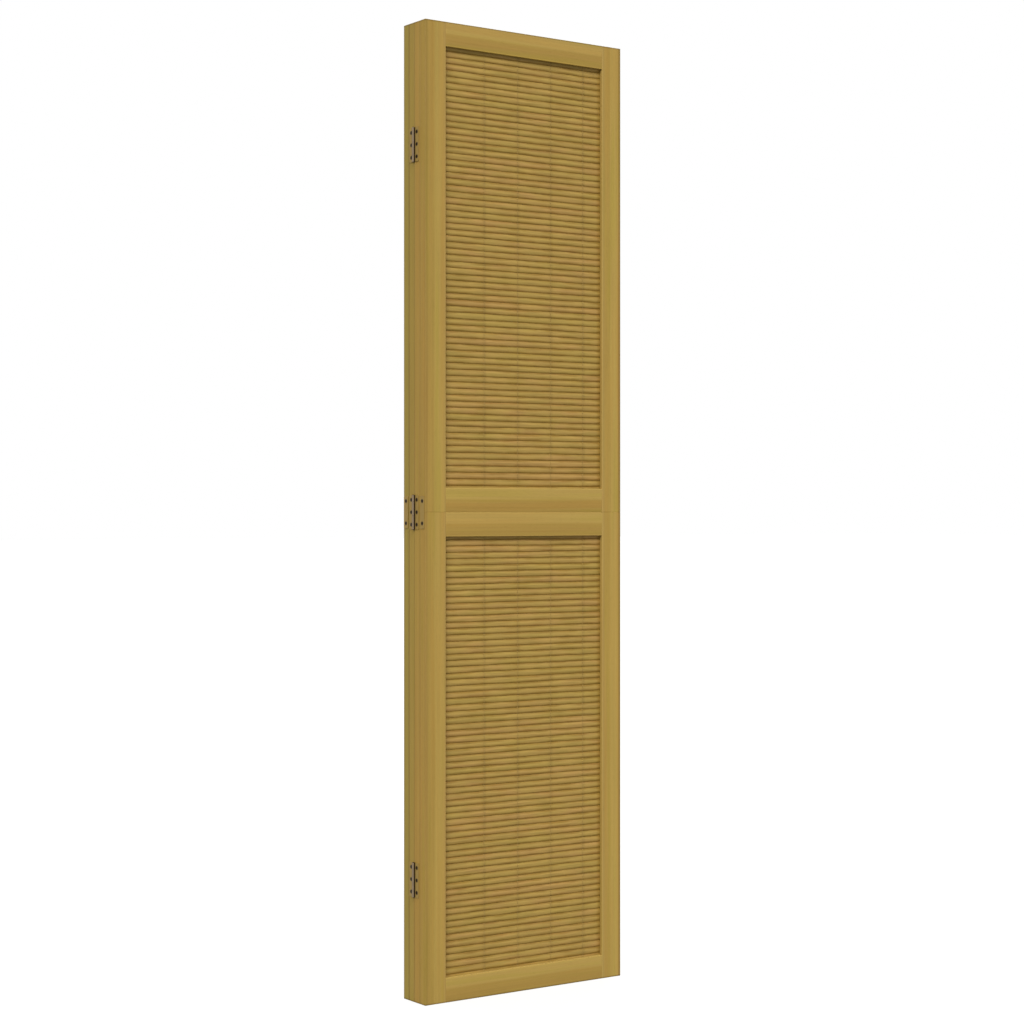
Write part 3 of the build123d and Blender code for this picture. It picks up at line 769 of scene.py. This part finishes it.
def studio():
    """A white room: a world that is plain light, a pale floor and soft lamps in front and behind."""
    world = bpy.data.worlds.new("studio")
    bpy.context.scene.world = world
    world.use_nodes = True
    tree = world.node_tree
    tree.nodes.clear()
    ray = add(tree, "ShaderNodeLightPath").outputs
    seen = add(tree, "ShaderNodeMath", {0: ray["Is Camera Ray"], 1: ray["Is Glossy Ray"]},
               operation="MAXIMUM").outputs[0]
    seen = add(tree, "ShaderNodeMath", {0: seen, 1: ray["Is Transmission Ray"]},
               operation="MAXIMUM").outputs[0]
    level = add(tree, "ShaderNodeMapRange", {0: seen, 3: WORLD_LEVEL, 4: 1.0}).outputs[0]
    sky = add(tree, "ShaderNodeBackground", {"Color": (1, 1, 1, 1), "Strength": level}).outputs[0]
    add(tree, "ShaderNodeOutputWorld", {"Surface": sky})

    floor_paint, tree, shader = new_material("matt_white_floor_paint")
    shader.inputs["Base Color"].default_value = (FLOOR_BOUNCE, FLOOR_BOUNCE, FLOOR_BOUNCE, 1)
    shader.inputs["Roughness"].default_value = 1.0
    shader.inputs["Specular IOR Level"].default_value = 0.0
    ray = add(tree, "ShaderNodeLightPath").outputs
    seen = add(tree, "ShaderNodeMath", {0: ray["Is Camera Ray"], 1: ray["Is Glossy Ray"]},
               operation="MAXIMUM").outputs[0]
    glow = add(tree, "ShaderNodeMapRange", {0: seen, 3: 0.0, 4: FLOOR_GLOW}).outputs[0]
    shader.inputs["Emission Color"].default_value = (1, 1, 1, 1)
    tree.links.new(glow, shader.inputs["Emission Strength"])
    corners = FLOOR_REACH * np.array([(-1, -1, 0), (1, -1, 0), (1, 1, 0), (-1, 1, 0)])
    floor = mesh_object("floor", corners, [[0, 1, 2, 3]], smooth=False)
    finish_with(floor, floor_paint)

    for name, azimuth, elevation, width, strength in LAMPS:
        lamp = bpy.data.objects.new(name, bpy.data.lights.new(name, "SUN"))
        lamp.data.angle = math.radians(width)
        lamp.data.energy = strength
        lamp.rotation_euler = (math.radians(90 - elevation), 0, math.radians(azimuth))
        bpy.context.scene.collection.objects.link(lamp)


photograph_camera()
studio()
bpy.context.scene.view_settings.view_transform = "Standard"

stile_wood = board_wood("stained_paulownia_upright", upright=True)
rail_wood = board_wood("stained_paulownia_level", upright=False)
bamboo = split_bamboo("stained_split_bamboo")
thread = waxed_thread("waxed_cotton_thread")
hinge_steel = lacquered_steel("bronze_lacquered_steel")
screw_steel = blackened_steel("oil_blackened_steel")
dowel_wood = ramin_dowel("pale_dowel_hardwood")

for node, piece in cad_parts.items():
    if node.endswith("stile"):
        finish_with(piece, stile_wood)
    elif node.endswith("rails"):
        finish_with(piece, rail_wood)
    elif node.endswith("dowels"):
        finish_with(piece, dowel_wood)
    elif node.endswith(("screws", "pins")):
        finish_with(piece, screw_steel)
    elif node.endswith(("plates", "plate")):
        finish_with(piece, hinge_steel)

for leaf in range(LEAVES):
    body = f"leaf_{leaf + 1}"
    for half in HALVES:
        mat = slat_mat(leaf, half)
        outward_faces(mat)
        finish_with(mat, bamboo)
        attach(mat, body)
        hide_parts(f"{body}_{half}_slats")
    warps = thread_warps(leaf)
    outward_faces(warps)
    finish_with(warps, thread)
    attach(warps, body)
    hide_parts(f"{body}_threads")
